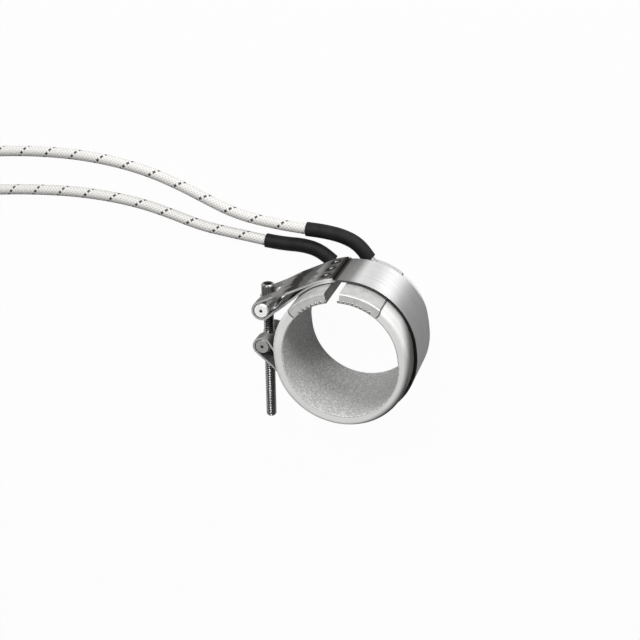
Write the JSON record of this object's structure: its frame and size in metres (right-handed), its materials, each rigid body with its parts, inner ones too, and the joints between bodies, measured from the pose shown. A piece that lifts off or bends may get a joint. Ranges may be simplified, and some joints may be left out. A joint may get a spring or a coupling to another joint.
{
  "type": "clamp-on band heater",
  "caption": "Split ring heater with a full-width bore, closed by a steel strap on two barrel nuts and a long cap screw, with two sleeved glass-fibre leads.",
  "frame": {"origin": "centre of the bore at the ring's back end, the end nearer the leads", "axes": "+Z along the bore to the front end; +Y towards the gap, along the clamp screw from its tip to its head; -X towards the screw"},
  "size_m": [0.2376, 0.1002, 0.0381],
  "materials": {
    "sheath": "light grey, satin, fine speckled bore",
    "end_cap": "light grey, satin, pressed",
    "mica": "mineral sheet, matte",
    "ribbon": "resistance alloy, dull",
    "pin": "nickel grey",
    "bushing": "white, matte",
    "ferrule": "satin",
    "splice": "crimped nickel",
    "lead": "white braided glass fibre with a dark tracer thread",
    "sleeve": "black, semi-matte",
    "core": "stranded, nickel-plated",
    "strap": "bright rolled strip",
    "barrel": "turned",
    "screw": "plated, threaded",
    "washer": "flat"
  },
  "bodies": {
    "heater": {"inner_sheath": "sheath", "outer_sheath": "sheath", "end_cap_right": "end_cap", "end_cap_left": "end_cap", "inner_insulation": "mica", "outer_insulation": "mica", "heating_ribbon": "ribbon", "terminal_pin_right": "pin", "terminal_pin_left": "pin", "pin_bushing_right": "bushing", "pin_bushing_left": "bushing", "lead_ferrule_right": "ferrule", "lead_ferrule_left": "ferrule", "lead_splice_right": "splice", "lead_splice_left": "splice", "lead_wire_right": "lead", "lead_wire_left": "lead", "lead_sleeve_right": "sleeve", "lead_sleeve_left": "sleeve", "lead_core_right": "core", "lead_core_left": "core", "clamp_strap": "strap", "plain_barrel": "barrel", "threaded_barrel": "barrel"},
    "washer": {"screw_washer": "washer"},
    "screw": {"clamp_screw": "screw"}
  },
  "joints": [
    {"name": "screw_travel", "type": "slide", "parent": "heater", "child": "washer", "axis": [0, 1, 0], "range_m": [0, 0.02857]},
    {"name": "screw_spin", "type": "hinge", "parent": "washer", "child": "screw", "pos_m": [-0.0348, 0.0144, 0.01725], "axis": [0, 1, 0], "range_deg": [0, 12970]}
  ],
  "couplings": [
    {"joint": "screw_spin", "follows": "screw_travel", "rad_per_m": 7915.8}
  ]
}
